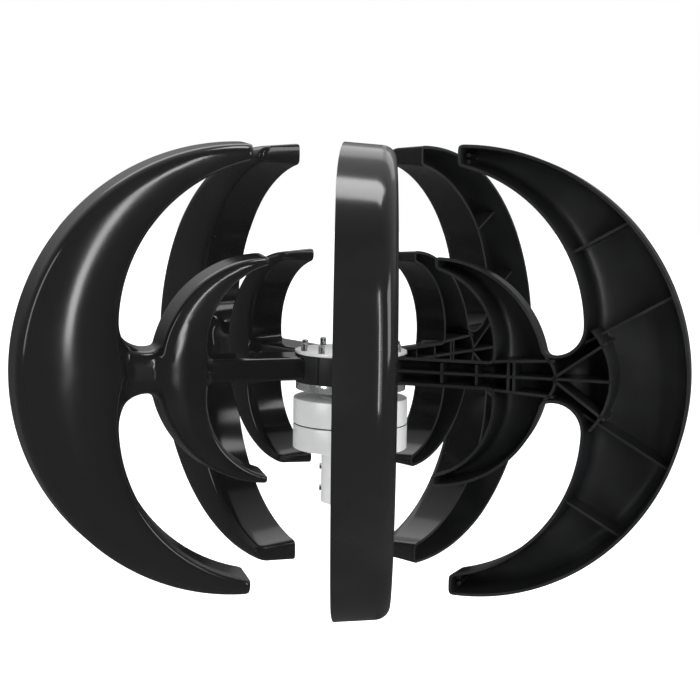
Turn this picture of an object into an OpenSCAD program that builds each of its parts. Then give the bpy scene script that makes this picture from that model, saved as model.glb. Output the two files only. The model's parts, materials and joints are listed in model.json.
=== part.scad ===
// Vertical axis wind turbine: five moulded double-crescent blades clamped in a
// round hub that drives a sealed generator, with a socket for a pole below.
// The origin is the centre of the pole socket's mouth. Sizes are millimetres.
// +Z is up along the turbine's axis. The first blade points along -Y.

/* [Rotor] */
// Radius from the axis to the outermost edge of a blade
rotor_radius = 300; // [260:1:340]
// Height of the blades' centre plane above the socket's mouth
hub_height = 122; // [118:0.5:140]
// Radius of the curve of a blade's outer edge
blade_arc = 197.5; // [170:0.5:220]
// Radius of each of the two curves that hollow the outer crescent
crescent_arc = 139.4; // [120:0.1:155]
// Height of those two curves' centres above and below the centre plane
crescent_offset = 41.8; // [30:0.1:55]
// Radius at which the outer crescent's tips are cut off
tip_radius = 96; // [80:0.5:120]

/* [Blade moulding] */
// Distance of the open rim behind the blade's centre line
rim_back = 12; // [8:0.5:16]
// Distance of the crown in front of the blade's centre line
crown_front = 33; // [24:0.5:40]
// Wall thickness of the moulding
blade_wall = 2.6; // [2:0.1:3.6]
// Rounding of the crown's outer edge
crown_round = 14; // [8:0.5:18]
// Rib thickness
rib_thickness = 2.4; // [1.6:0.1:3.2]
// Height of the arm
arm_height = 25; // [20:0.5:30]
// Distance of the arm's front face from the blade's centre line
arm_front = 13; // [10:0.5:18]

/* [Inner crescent] */
// Radius of the inner crescent's outer edge
inner_arc = 101; // [90:0.5:108]
// Distance of that curve's centre from the axis
inner_centre = 78.5; // [70:0.5:86]
// Radius of each of the two curves that hollow the inner crescent
inner_void_arc = 68.8; // [60:0.1:76]
// Distance of the inner crescent's crown from the blade's centre line
inner_front = 24; // [18:0.5:30]

/* [Hub] */
// Radius of the polished clamping plate
plate_radius = 50; // [46:0.5:54]
// Thickness of the clamping plate
plate_thickness = 2.5; // [2:0.1:5]
// Thickness of the drive flange
flange_thickness = 7; // [5:0.5:10]
// Radius of the ring of studs
stud_ring = 43.5; // [38:0.5:45]
// Nominal diameter of the studs
stud_size = 6; // [4:1:8]
// Length of stud standing out of the plate
stud_proud = 7; // [3:0.5:12]

/* [Generator housing] */
// Outer radius of the housing
housing_radius = 51; // [49:0.5:58]
// Height of the housing's top above the socket's mouth
housing_top = 95; // [93:0.5:98]
// Height of the seam between the two housing halves
seam_height = 71.6; // [70:0.1:73]
// Height of the housing's underside
housing_bottom = 49.5; // [46:0.5:50]
// Wall thickness of the housing
housing_wall = 7; // [6:0.5:8]
// Thickness of the gasket in the seam
gasket_thickness = 0.8; // [0.4:0.1:1.2]

/* [Pole socket] */
// Outer diameter of the socket
sleeve_diameter = 50.5; // [49:0.5:54]
// Bore of the socket
pole_bore = 43; // [38:0.5:44]
// Thickness of the wall that closes the socket
sleeve_end = 5; // [4:0.5:8]
// Height of the lower row of clamping screws
set_screw_low = 12; // [8:0.5:16]
// Height of the upper row of clamping screws
set_screw_high = 31.5; // [24:0.5:36]
// Diameter of the clamping screws
set_screw_size = 6; // [5:1:8]

/* [Generator] */
// Radius of the air gap's stator side
stator_bore = 31; // [30.5:0.1:33]
// Air gap between magnets and stator
air_gap = 0.8; // [0.6:0.1:1.2]
// Number of stator teeth
tooth_count = 12; // [9:1:12]
// Number of magnets
magnet_count = 14; // [10:1:16]
// Height of the laminated core
core_height = 20; // [16:0.5:22]

/* [Fits] */
// Gap round a threaded or pressed item
seat_gap = 0.03; // [0.02:0.01:0.06]
// Running gap between balls and races, and at the seal
running_gap = 0.06; // [0.03:0.01:0.1]
// Gap between neighbouring blade roots
root_gap = 0.3; // [0.2:0.05:0.6]

/* [Hidden] */
$fn = 96;
blade_step = 72;
outer_centre = rotor_radius - blade_arc;
void_centre = outer_centre - 31.8;
void_inner_edge = void_centre + sqrt(crescent_arc * crescent_arc - crescent_offset * crescent_offset);
inner_void_x = inner_centre - 14.8;
inner_void_y = 23.1;
inner_tip = inner_centre + 0.5;
void_draft = 4.5;
edge_draft = 2;
neck_x = inner_centre + inner_arc + 5.5;
neck_y = 45;
neck_fillet = 24.5;
neck_front = 19;
neck_end = max(void_inner_edge + 12, neck_x + 10);
fan_arc_x = neck_x - 14;
fan_arc_r = 63;
arm_half = arm_height / 2;
root_outer = plate_radius - 1.5;
root_inner = 20;
root_low = hub_height - arm_half;
root_high = hub_height + arm_half;
flange_radius = plate_radius - 1;
flange_low = root_low - flange_thickness;
stud_hole = stud_size / 2 + 0.2;
lower_top = seam_height - gasket_thickness / 2;
upper_low = seam_height + gasket_thickness / 2;
cavity_radius = housing_radius - housing_wall;
cavity_ledge = cavity_radius - 2.5;
cover_thickness = 5;
floor_top = housing_bottom + 5;
core_low = seam_height - 7.6;
core_high = core_low + core_height;
bore_radius = pole_bore / 2;
sleeve_radius = max(sleeve_diameter / 2, bore_radius + 3);
socket_depth = housing_bottom - sleeve_end;

// Upper bearing 17 x 40 x 12 and lower bearing 12 x 32 x 10
upper_bearing_high = housing_top - 3;
upper_bearing_low = upper_bearing_high - 12;
upper_bore = 8.5;
upper_outer = 20;
upper_pitch = 14.25;
upper_ball = 6.75;
upper_ball_count = 8;
lower_bearing_low = housing_bottom + 8.5;
lower_bearing_high = lower_bearing_low + 10;
lower_bore = 6;
lower_outer = 16;
lower_pitch = 11;
lower_ball = 5.95;
lower_ball_count = 7;
upper_boss = 23.4;
lower_boss = 20;
seal_outer = 17;
flange_boss = 12;
web_low = lower_bearing_high + 1;
web_high = upper_bearing_low - 3;
magnet_face = stator_bore - air_gap;
magnet_back = magnet_face - 2.6;
rotor_bore = 10;
nut_flats = 24;
housing_screw_ring = housing_radius - 3.6;
sleeve_screw_ring = min(14, bore_radius - 6);

module ring(r_out, r_in, low, high) {
    translate([0, 0, low])
        linear_extrude(high - low)
            difference() {
                circle(r_out);
                circle(r_in);
            }
}

module disc(r, low, high) {
    translate([0, 0, low])
        cylinder(r = r, h = high - low);
}

module around(count, start = 0) {
    for (i = [0:count - 1])
        rotate([0, 0, start + i * 360 / count])
            children();
}

// Blade: x runs out from the axis, y along the turbine's axis and z towards
// the convex side. inset shrinks the shape evenly to give the inner surface.

module crown_profile(r, low, top, corner, dome_at, dome_r) {
    intersection() {
        union() {
            polygon([[0, low], [r, low], [r - edge_draft, top - corner], [0, top - corner]]);
            translate([0, low])
                square([r - edge_draft - corner, top - low]);
            translate([r - edge_draft - corner, top - corner])
                circle(corner);
        }
        translate([dome_at, top - dome_r])
            circle(dome_r);
    }
}

module outer_crescent(inset, low) {
    difference() {
        translate([outer_centre, 0, 0])
            rotate_extrude()
                crown_profile(blade_arc - inset, low, crown_front - inset,
                    crown_round - inset, blade_arc - 34, 160 - inset);
        for (side = [-1, 1])
            translate([void_centre, side * crescent_offset, low - 1])
                cylinder(r1 = crescent_arc + inset, r2 = crescent_arc + void_draft + inset,
                    h = crown_front - low + 2);
        translate([tip_radius + inset - 600, -300, low - 1])
            cube([600, 600, crown_front - low + 2]);
    }
}

module inner_crescent(inset, low) {
    difference() {
        translate([inner_centre, 0, 0])
            rotate_extrude()
                crown_profile(inner_arc - inset, low, inner_front - inset,
                    crown_round - 3 - inset, inner_arc - 20, 90 - inset);
        for (side = [-1, 1])
            translate([inner_void_x, side * inner_void_y, low - 1])
                cylinder(r1 = inner_void_arc + inset, r2 = inner_void_arc + 3 + inset,
                    h = inner_front - low + 2);
        translate([inner_tip + inset - 400, -200, low - 1])
            cube([400, 400, inner_front - low + 2]);
    }
}

module neck(inset, low) {
    translate([0, 0, low])
        linear_extrude(neck_front - inset - low)
            difference() {
                translate([neck_x - 24, -neck_y])
                    square([neck_end - neck_x + 24, 2 * neck_y]);
                for (side = [-1, 1])
                    translate([neck_x + 0.5, side * neck_y])
                        circle(neck_fillet + inset);
            }
}

module arm(inset, low, start) {
    translate([start, inset - arm_half, low])
        cube([neck_x - start, arm_height - 2 * inset, arm_front - inset - low]);
}

module rib_line(x1, y1, x2, y2, low) {
    run = norm([x2 - x1, y2 - y1]);
    translate([x1, y1, low])
        rotate([0, 0, atan2(y2 - y1, x2 - x1)])
            translate([0, -rib_thickness / 2, 0])
                cube([run, rib_thickness, crown_front - low]);
}

module rib_arc(x, r, low, reach) {
    translate([x, 0, low])
        linear_extrude(crown_front - low)
            intersection() {
                difference() {
                    circle(r + rib_thickness / 2);
                    circle(r - rib_thickness / 2);
                }
                translate([r / 2, -reach])
                    square([r, 2 * reach]);
            }
}

module blade_ribs() {
    deep = 2;
    shallow = 0.8 - rim_back;
    for (side = [-1, 1]) {
        rib_line(outer_centre + 91, side * 106, outer_centre + 160, side * 145, deep);
        rib_line(outer_centre + 104, side * 29, outer_centre + 198, side * 84, deep);
        rib_line(neck_x, 0, neck_x + 46, side * 33, shallow);
    }
    rib_line(root_outer, 0, neck_end + 19, 0, shallow);
    rib_arc(fan_arc_x, fan_arc_r, shallow, 44);
    rib_arc(fan_arc_x - 8, 24, shallow, 22);
    for (x = [87, 118, 146, 151])
        rib_line(x, -30, x, 30, shallow);
}

module blade_moulding() {
    difference() {
        union() {
            outer_crescent(0, -rim_back);
            inner_crescent(0, -rim_back);
            neck(0, -rim_back);
            arm(0, -rim_back, root_outer - 6);
        }
        difference() {
            union() {
                outer_crescent(blade_wall, -rim_back - 1);
                inner_crescent(blade_wall, -rim_back - 1);
                neck(blade_wall, -rim_back - 1);
                arm(blade_wall, -rim_back - 1, root_outer + 3);
            }
            blade_ribs();
        }
    }
}

module blade_root() {
    intersection() {
        ring(root_outer, root_inner, root_low, root_high);
        linear_extrude(2 * hub_height)
            polygon([[root_gap, 0], [90, 90 * tan(36) - root_gap],
                [90, -90 * tan(36) + root_gap]]);
    }
}

module stud_holes() {
    for (turn = [-36, 0, 36])
        rotate([0, 0, turn])
            translate([stud_ring, 0, root_low - 1])
                cylinder(r = stud_hole, h = arm_height + 2);
}

module blade(index) {
    color("#141416")
        rotate([0, 0, -90 - blade_step * index])
            difference() {
                union() {
                    difference() {
                        translate([0, 0, hub_height])
                            rotate([-90, 0, 0])
                                blade_moulding();
                        disc(root_outer - 3, root_low - 1, root_high + 1);
                    }
                    blade_root();
                }
                stud_holes();
            }
}

module blade_1() {
    blade(0);
}

module blade_2() {
    blade(1);
}

module blade_3() {
    blade(2);
}

module blade_4() {
    blade(3);
}

module blade_5() {
    blade(4);
}

// Hub

module top_clamp_plate() {
    color("#d9dbde")
        difference() {
            disc(plate_radius, root_high, root_high + plate_thickness);
            around(10, 18)
                translate([stud_ring, 0, root_high - 1])
                    cylinder(r = stud_size / 2, h = plate_thickness + 2);
        }
}

module drive_flange() {
    color("#d4d6d9")
        difference() {
            union() {
                disc(flange_radius, flange_low, root_low);
                disc(flange_boss, upper_bearing_high, root_low);
            }
            disc(upper_bore + seat_gap, upper_bearing_high - 1, root_low + 1);
            translate([upper_bore - 2, -2.5, upper_bearing_high - 1])
                cube([4.3, 5, root_low - upper_bearing_high + 2]);
            around(10, 18)
                translate([stud_ring, 0, flange_low + 1])
                    cylinder(r = stud_size / 2, h = flange_thickness);
        }
}

module hub_studs() {
    color("#b9bbbe")
        around(10, 18)
            translate([stud_ring, 0, 0])
                rotate_extrude()
                    polygon([[0, flange_low + 1], [stud_size / 2 - seat_gap, flange_low + 1],
                        [stud_size / 2 - seat_gap, root_high + plate_thickness + stud_proud - 0.8],
                        [stud_size / 2 - 0.8, root_high + plate_thickness + stud_proud],
                        [0, root_high + plate_thickness + stud_proud]]);
}

module shaft_washer() {
    color("#c4c6c9")
        ring(13, 8.2, root_low, root_low + 2.5);
}

module shaft_nut() {
    color("#b4b6ba")
        translate([0, 0, root_low + 2.5])
            linear_extrude(11)
                difference() {
                    circle(r = nut_flats / sqrt(3), $fn = 6);
                    circle(8, $fn = 96);
                }
}

module generator_shaft() {
    color("#c2c4c8")
        difference() {
            union() {
                disc(lower_bore, lower_bearing_low + 0.4, lower_bearing_high);
                disc(rotor_bore, lower_bearing_high, upper_bearing_low);
                disc(upper_bore, upper_bearing_low, root_low);
                disc(8 - seat_gap, root_low, root_low + 18);
            }
            translate([upper_bore - 2, -2.5, housing_top + 1])
                cube([4, 5, root_low - housing_top]);
        }
}

module shaft_key() {
    color("#8f9195")
        translate([upper_bore - 2, -2.5 + seat_gap, housing_top + 1.5])
            cube([4.2, 5 - 2 * seat_gap, root_low - housing_top - 2]);
}

// Generator rotor

module magnet_rotor() {
    color("#55585c")
        rotate_extrude()
            polygon([[rotor_bore, web_low], [magnet_back - 3, web_low],
                [magnet_back - 3, core_low - 1], [magnet_back, core_low - 1],
                [magnet_back, core_high + 1], [magnet_back - 3, core_high + 1],
                [magnet_back - 3, web_high], [rotor_bore, web_high]]);
}

module rotor_magnets() {
    color("#8a8d92")
        around(magnet_count)
            translate([0, 0, core_low])
                linear_extrude(core_height)
                    intersection() {
                        difference() {
                            circle(magnet_face);
                            circle(magnet_back + seat_gap);
                        }
                        polygon([[0, 0], [60, 60 * tan(150 / magnet_count)],
                            [60, -60 * tan(150 / magnet_count)]]);
                    }
}

// Bearings

module race_groove(pitch, ball, mid) {
    rotate_extrude()
        translate([pitch, mid])
            circle(ball / 2 + running_gap);
}

module outer_race(outer, pitch, ball, low, high) {
    color("#bfc1c5")
        difference() {
            ring(outer, pitch + ball * 0.3, low, high);
            race_groove(pitch, ball, (low + high) / 2);
        }
}

module inner_race(bore, pitch, ball, low, high) {
    color("#bfc1c5")
        difference() {
            ring(pitch - ball * 0.3, bore + seat_gap, low, high);
            race_groove(pitch, ball, (low + high) / 2);
        }
}

module ball_set(count, pitch, ball, mid) {
    color("#dfe1e4")
        around(count)
            translate([pitch, 0, mid])
                sphere(d = ball);
}

module cage(count, pitch, ball, mid) {
    color("#b58b3a")
        difference() {
            ring(pitch + ball * 0.18, pitch - ball * 0.18, mid - ball / 2 - 0.6, mid + ball / 2 + 0.6);
            around(count)
                translate([pitch, 0, mid])
                    sphere(d = ball + 2 * seat_gap);
        }
}

module upper_outer_race() {
    outer_race(upper_outer, upper_pitch, upper_ball, upper_bearing_low, upper_bearing_high);
}

module upper_inner_race() {
    inner_race(upper_bore, upper_pitch, upper_ball, upper_bearing_low, upper_bearing_high);
}

module upper_balls() {
    ball_set(upper_ball_count, upper_pitch, upper_ball, upper_bearing_high - 6);
}

module upper_cage() {
    cage(upper_ball_count, upper_pitch, upper_ball, upper_bearing_high - 6);
}

module lower_outer_race() {
    outer_race(lower_outer, lower_pitch, lower_ball, lower_bearing_low, lower_bearing_high);
}

module lower_inner_race() {
    inner_race(lower_bore, lower_pitch, lower_ball, lower_bearing_low, lower_bearing_high);
}

module lower_balls() {
    ball_set(lower_ball_count, lower_pitch, lower_ball, lower_bearing_high - 5);
}

module lower_cage() {
    cage(lower_ball_count, lower_pitch, lower_ball, lower_bearing_high - 5);
}

// Stator

module tooth_shape() {
    intersection() {
        difference() {
            circle(stator_bore + 2.2);
            circle(stator_bore);
        }
        polygon([[0, 0], [60, 60 * tan(156 / tooth_count)], [60, -60 * tan(156 / tooth_count)]]);
    }
    translate([stator_bore + 1, -2.6])
        square([cavity_radius - stator_bore - 3, 5.2]);
}

module stator_core() {
    color("#6b6e72")
        translate([0, 0, core_low])
            linear_extrude(core_height)
                union() {
                    difference() {
                        circle(cavity_radius - seat_gap);
                        circle(cavity_radius - 4);
                    }
                    around(tooth_count)
                        tooth_shape();
                }
}

module stator_coils() {
    coil_in = stator_bore + 2.5;
    coil_out = cavity_radius - 4.6;
    color("#b0622c")
        around(tooth_count)
            difference() {
                translate([coil_in, -6.2, core_low - 3.4])
                    cube([coil_out - coil_in, 12.4, core_height + 6.8]);
                translate([coil_in - 1, -2.6 - seat_gap, core_low - seat_gap])
                    cube([coil_out - coil_in + 2, 5.2 + 2 * seat_gap, core_height + 2 * seat_gap]);
            }
}

// Housing

module upper_housing() {
    color("#cfd1d3")
        difference() {
            union() {
                difference() {
                    rotate_extrude()
                        polygon([[0, upper_low], [housing_radius, upper_low],
                            [housing_radius, housing_top - 1.2],
                            [housing_radius - 1.2, housing_top],
                            [seal_outer + 10, housing_top],
                            [seal_outer + 9, housing_top + 0.8], [0, housing_top + 0.8]]);
                    disc(cavity_radius, upper_low - 1, core_high);
                    disc(cavity_ledge, core_high - 1, housing_top - cover_thickness);
                }
                disc(upper_boss, upper_bearing_low - 1, housing_top);
            }
            disc(upper_outer + seat_gap, upper_low - 1, upper_bearing_high);
            disc(seal_outer, upper_bearing_high - 1, housing_top + 1);
            around(6, 30)
                translate([housing_screw_ring, 0, upper_low - 1])
                    cylinder(r = 1.5, h = 11);
        }
}

module lower_housing() {
    color("#c9cbcd")
        difference() {
            union() {
                difference() {
                    rotate_extrude()
                        polygon([[0, housing_bottom], [housing_radius - 1, housing_bottom],
                            [housing_radius, housing_bottom + 1], [housing_radius, lower_top],
                            [0, lower_top]]);
                    disc(cavity_radius, core_low, lower_top + 1);
                    disc(cavity_ledge, floor_top, lower_top + 1);
                }
                disc(lower_boss, floor_top - 1, lower_bearing_high - 0.6);
            }
            disc(lower_outer + seat_gap, lower_bearing_low, lower_bearing_high + 1);
            disc(5, housing_bottom - 1, lower_bearing_low + 1);
            translate([-4, 0, floor_top - 1])
                cube([8, lower_boss + 2, 3]);
            around(4, 45)
                translate([sleeve_screw_ring, 0, housing_bottom - 1])
                    cylinder(r = 2.5, h = 7.8);
            around(6, 30)
                translate([housing_screw_ring, 0, housing_bottom - 1]) {
                    cylinder(r = 1.6, h = lower_top - housing_bottom + 2);
                    cylinder(r = 2.9, h = 4.4);
                }
        }
}

module housing_gasket() {
    color("#1c1c1e")
        difference() {
            ring(housing_radius - 0.5, cavity_radius + 0.3, lower_top, upper_low);
            around(6, 30)
                translate([housing_screw_ring, 0, lower_top - 1])
                    cylinder(r = 1.6, h = 3);
        }
}

module cap_screw(r, head_r, head, length) {
    difference() {
        union() {
            translate([0, 0, -head])
                cylinder(r = head_r, h = head);
            cylinder(r = r, h = length);
        }
        translate([0, 0, -head - 1])
            cylinder(r = head_r * 0.5, h = head * 0.5 + 1, $fn = 6);
    }
}

module housing_screws() {
    color("#9a9ca0")
        around(6, 30)
            translate([housing_screw_ring, 0, housing_bottom + 3.4])
                cap_screw(1.5 - seat_gap, 2.75, 3, upper_low + 8 - housing_bottom - 3.4);
}

module shaft_seal() {
    color("#202023")
        ring(seal_outer, flange_boss + running_gap, upper_bearing_high + 0.3, housing_top + 0.6);
}

// Pole socket

module pole_sleeve() {
    color("#cbcdcf")
        difference() {
            disc(sleeve_radius, 0, housing_bottom);
            disc(bore_radius, -1, socket_depth);
            disc(5, socket_depth - 1, housing_bottom + 1);
            disc(7.3, socket_depth - 1, socket_depth + 1.7);
            around(4, 45)
                translate([sleeve_screw_ring, 0, socket_depth])
                    rotate_extrude()
                        polygon([[0, -1], [5, -1], [5, 0.35], [2.7, 2.65],
                            [2.7, sleeve_end + 1], [0, sleeve_end + 1]]);
            for (height = [set_screw_low, set_screw_high])
                translate([0, 0, height])
                    around(3, 180)
                        translate([bore_radius - 2, 0, 0])
                            rotate([0, 90, 0])
                                cylinder(r = set_screw_size / 2, h = sleeve_radius - bore_radius + 4);
        }
}

module sleeve_screws() {
    color("#9a9ca0")
        around(4, 45)
            translate([sleeve_screw_ring, 0, socket_depth])
                difference() {
                    rotate_extrude()
                        polygon([[0, 0.1], [4.9, 0.1], [4.9, 0.35], [2.5 - seat_gap, 2.8],
                            [2.5 - seat_gap, sleeve_end + 6], [0, sleeve_end + 6]]);
                    translate([0, 0, -1])
                        cylinder(r = 1.7, h = 2.9, $fn = 6);
                }
}

module set_screws() {
    color("#6f7276")
        for (height = [set_screw_low, set_screw_high])
            translate([0, 0, height])
                around(3, 180)
                    translate([bore_radius + 0.2, 0, 0])
                        rotate([0, 90, 0])
                            difference() {
                                cylinder(r = set_screw_size / 2 - seat_gap,
                                    h = sleeve_radius - bore_radius + 1.6);
                                translate([0, 0, sleeve_radius - bore_radius - 1])
                                    cylinder(r = 1.7, h = 4, $fn = 6);
                            }
}

module cable_grommet() {
    color("#18181a")
        rotate_extrude()
            polygon([[3, socket_depth + 0.1], [7.2, socket_depth + 0.1], [7.2, socket_depth + 1.7],
                [5 - seat_gap, socket_depth + 1.7], [5 - seat_gap, housing_bottom + 3],
                [3, housing_bottom + 3]]);
}

blade_1();
blade_2();
blade_3();
blade_4();
blade_5();
top_clamp_plate();
drive_flange();
hub_studs();
generator_shaft();
shaft_washer();
shaft_nut();
shaft_key();
magnet_rotor();
rotor_magnets();
upper_inner_race();
lower_inner_race();
upper_outer_race();
lower_outer_race();
upper_balls();
upper_cage();
lower_balls();
lower_cage();
stator_core();
stator_coils();
upper_housing();
lower_housing();
housing_gasket();
housing_screws();
shaft_seal();
pole_sleeve();
sleeve_screws();
set_screws();
cable_grommet();
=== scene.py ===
"""Vertical axis wind turbine: five double-crescent blades on a small generator.

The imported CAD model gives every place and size. This script models the blades
and the turned metal parts in finer detail, gives each piece its finish, and
sets a plain studio round them. Lengths inside the classes are millimetres in
the CAD's frame, and become metres when a mesh is made.
"""

from __future__ import annotations

import json
import logging
import math
from collections.abc import Iterator, Sequence
from contextlib import contextmanager
from dataclasses import dataclass, field
from enum import Enum

import bpy
import numpy as np
from mathutils import Euler, Matrix, Vector
from mathutils.geometry import delaunay_2d_cdt

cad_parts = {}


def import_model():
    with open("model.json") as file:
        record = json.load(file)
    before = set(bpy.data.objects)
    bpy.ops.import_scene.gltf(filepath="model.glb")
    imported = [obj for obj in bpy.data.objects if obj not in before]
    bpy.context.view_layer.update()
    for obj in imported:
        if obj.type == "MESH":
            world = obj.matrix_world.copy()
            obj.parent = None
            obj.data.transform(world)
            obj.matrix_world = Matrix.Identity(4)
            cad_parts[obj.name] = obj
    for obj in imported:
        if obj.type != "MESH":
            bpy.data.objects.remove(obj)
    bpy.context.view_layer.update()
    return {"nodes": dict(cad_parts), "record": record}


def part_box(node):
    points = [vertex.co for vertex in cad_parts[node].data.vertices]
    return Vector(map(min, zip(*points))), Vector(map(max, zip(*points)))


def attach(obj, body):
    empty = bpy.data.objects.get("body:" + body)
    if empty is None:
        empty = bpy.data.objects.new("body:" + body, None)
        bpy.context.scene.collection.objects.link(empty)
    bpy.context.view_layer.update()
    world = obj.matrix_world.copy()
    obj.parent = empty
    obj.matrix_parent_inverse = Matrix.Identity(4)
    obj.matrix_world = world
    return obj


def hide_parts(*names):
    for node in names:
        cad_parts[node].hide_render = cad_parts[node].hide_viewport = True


MM = 0.001
LOG = logging.getLogger("turbine")
Point = tuple[float, float]
Colour = tuple[float, float, float]


# --------------------------------------------------------------------------
# Shader arithmetic
# --------------------------------------------------------------------------


class Wire:
    """A shader socket that takes part in Python arithmetic."""

    def __init__(self, graph: Graph, socket: bpy.types.NodeSocket) -> None:
        """Wraps one output socket of a graph."""
        self.graph = graph
        self.socket = socket

    def _with(self, operation: str, other: float | Wire, flip: bool = False) -> Wire:
        """Adds a Math node.

        Args:
            operation: the Math node's operation.
            other: the other number or wire.
            flip: puts other first.

        Returns:
            The result's wire.
        """
        pair = (other, self) if flip else (self, other)
        return self.graph.add("ShaderNodeMath", {"operation": operation}, {0: pair[0], 1: pair[1]})

    def __add__(self, other: float | Wire) -> Wire:
        """self + other."""
        return self._with("ADD", other)

    __radd__ = __add__

    def __sub__(self, other: float | Wire) -> Wire:
        """self - other."""
        return self._with("SUBTRACT", other)

    def __rsub__(self, other: float | Wire) -> Wire:
        """other - self."""
        return self._with("SUBTRACT", other, flip=True)

    def __mul__(self, other: float | Wire) -> Wire:
        """self * other."""
        return self._with("MULTIPLY", other)

    __rmul__ = __mul__

    def __truediv__(self, other: float | Wire) -> Wire:
        """self / other."""
        return self._with("DIVIDE", other)

    def __pow__(self, other: float | Wire) -> Wire:
        """self ** other."""
        return self._with("POWER", other)

    def step(self, low: float, high: float) -> Wire:
        """Goes smoothly from 0 at low to 1 at high.

        Args:
            low: the value that gives 0.
            high: the value that gives 1.

        Returns:
            The eased value.
        """
        return self.graph.add(
            "ShaderNodeMapRange",
            {"interpolation_type": "SMOOTHSTEP", "clamp": True},
            {"Value": self, "From Min": low, "From Max": high},
        )


class Graph:
    """The node tree of one material."""

    def __init__(self, name: str) -> None:
        """Makes an empty material of that name."""
        self.material = bpy.data.materials.new(name)
        self.material.use_nodes = True
        self.tree = self.material.node_tree
        self.tree.nodes.clear()

    @classmethod
    def on(cls, tree: bpy.types.NodeTree) -> Graph:
        """Starts a graph on a tree that exists, after emptying it."""
        graph = cls.__new__(cls)
        graph.material, graph.tree = None, tree
        tree.nodes.clear()
        return graph

    def add(
        self,
        kind: str,
        settings: dict[str, object] | None = None,
        sockets: dict[int | str, object] | None = None,
        output: int | str = 0,
    ) -> Wire:
        """Adds any node.

        Args:
            kind: the node's type.
            settings: its properties, set first.
            sockets: values or wires for its inputs.
            output: the output that is wanted.

        Returns:
            The wire of that output.
        """
        node = self.tree.nodes.new(kind)
        for key, value in (settings or {}).items():
            setattr(node, key, value)
        for key, value in (sockets or {}).items():
            if isinstance(value, Wire):
                self.tree.links.new(value.socket, node.inputs[key])
            else:
                node.inputs[key].default_value = value
        return Wire(self, node.outputs[output])

    def place(self) -> Wire:
        """The point's place on the object, in metres."""
        return self.add("ShaderNodeTexCoord", output="Object")

    def axes(self, place: Wire) -> tuple[Wire, Wire, Wire]:
        """Splits a place into its three numbers."""
        split = self.add("ShaderNodeSeparateXYZ", sockets={0: place}).socket.node
        return tuple(Wire(self, split.outputs[i]) for i in range(3))

    def noise(self, place: Wire, scale: float, detail: float = 2.0, rough: float = 0.5) -> Wire:
        """Smooth noise from 0 to 1.

        Args:
            place: where it is read.
            scale: bumps to the metre.
            detail: octaves.
            rough: how strong the fine octaves are.

        Returns:
            The noise's value.
        """
        sockets = {"Vector": place, "Scale": scale, "Detail": detail, "Roughness": rough}
        return self.add("ShaderNodeTexNoise", {"noise_dimensions": "3D"}, sockets)

    def tint(self, factor: Wire, low: Colour, high: Colour) -> Wire:
        """Mixes two colours.

        Args:
            factor: 0 gives low and 1 gives high.
            low: the first colour.
            high: the second colour.

        Returns:
            The mixed colour.
        """
        return self.add(
            "ShaderNodeMix",
            {"data_type": "RGBA"},
            {0: factor, 6: (*low, 1.0), 7: (*high, 1.0)},
            output=2,
        )

    def bump(self, height: Wire, distance: float, strength: float = 1.0) -> Wire:
        """A normal from a height.

        Args:
            height: the height, from 0 to 1.
            distance: what 1 stands for, in metres.
            strength: how much of it shows.

        Returns:
            The normal.
        """
        sockets = {"Height": height, "Distance": distance, "Strength": strength}
        return self.add("ShaderNodeBump", sockets=sockets)

    def surface(self, sockets: dict[str, object]) -> bpy.types.Material:
        """Ends the graph in a Principled shader.

        Args:
            sockets: values or wires for the shader.

        Returns:
            The finished material.
        """
        shader = self.add("ShaderNodeBsdfPrincipled", sockets=sockets)
        end = self.tree.nodes.new("ShaderNodeOutputMaterial")
        self.tree.links.new(shader.socket, end.inputs["Surface"])
        return self.material


# --------------------------------------------------------------------------
# Finishes
# --------------------------------------------------------------------------


class Slot(Enum):
    """The record's material slots."""

    BLADE = "blade_plastic"
    POLISHED = "polished_metal"
    STUD = "stud_steel"
    MACHINED = "machined_steel"
    IRON = "rotor_iron"
    MAGNET = "magnet"
    BEARING = "bearing_steel"
    BRASS = "cage_brass"
    CORE = "core_steel"
    COPPER = "coil_copper"
    HOUSING = "housing_aluminium"
    RUBBER = "seal_rubber"


@dataclass(frozen=True)
class GlossyMoulding:
    """Glossy black plastic, as the blade's outside leaves a polished mould."""

    colour: Colour = (0.0105, 0.0105, 0.011)
    dust: Colour = (0.017, 0.017, 0.0175)
    roughness: float = 0.11

    def make(self) -> bpy.types.Material:
        """Builds the material: faint flow ripples, hazy patches and soft scuffs."""
        g = Graph("blade_gloss_black")
        place = g.place()
        haze = g.noise(place, 14.0, 3.0)
        scuff = g.noise(place, 90.0, 2.0, 0.5).step(0.6, 0.8)
        ripple = g.noise(place, 26.0, 1.0)
        return g.surface(
            {
                "Base Color": g.tint(haze.step(0.45, 0.75) * 0.6 + scuff * 0.1, self.colour, self.dust),
                "Roughness": haze * 0.09 + self.roughness - 0.03 + scuff * 0.03,
                "Normal": g.bump(ripple, 0.00025, 0.4),
                "IOR": 1.46,
                "Specular IOR Level": 0.42,
            }
        )


@dataclass(frozen=True)
class SatinMoulding:
    """The same plastic inside the blade, where the mould is only spark-eroded."""

    colour: Colour = (0.0115, 0.012, 0.013)
    worn: Colour = (0.022, 0.0225, 0.024)
    roughness: float = 0.4

    def make(self) -> bpy.types.Material:
        """Builds the material: a fine erosion grain and soft flow marks."""
        g = Graph("blade_satin_black")
        place = g.place()
        grain = g.noise(place, 1800.0, 2.0, 0.6)
        flow = g.noise(place, 22.0, 3.0)
        return g.surface(
            {
                "Base Color": g.tint(flow.step(0.35, 0.8), self.colour, self.worn),
                "Roughness": flow * 0.16 + self.roughness - 0.08,
                "Normal": g.bump(grain * 0.7 + flow * 2.0, 0.00012, 0.6),
                "IOR": 1.46,
                "Specular IOR Level": 0.45,
            }
        )


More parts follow.
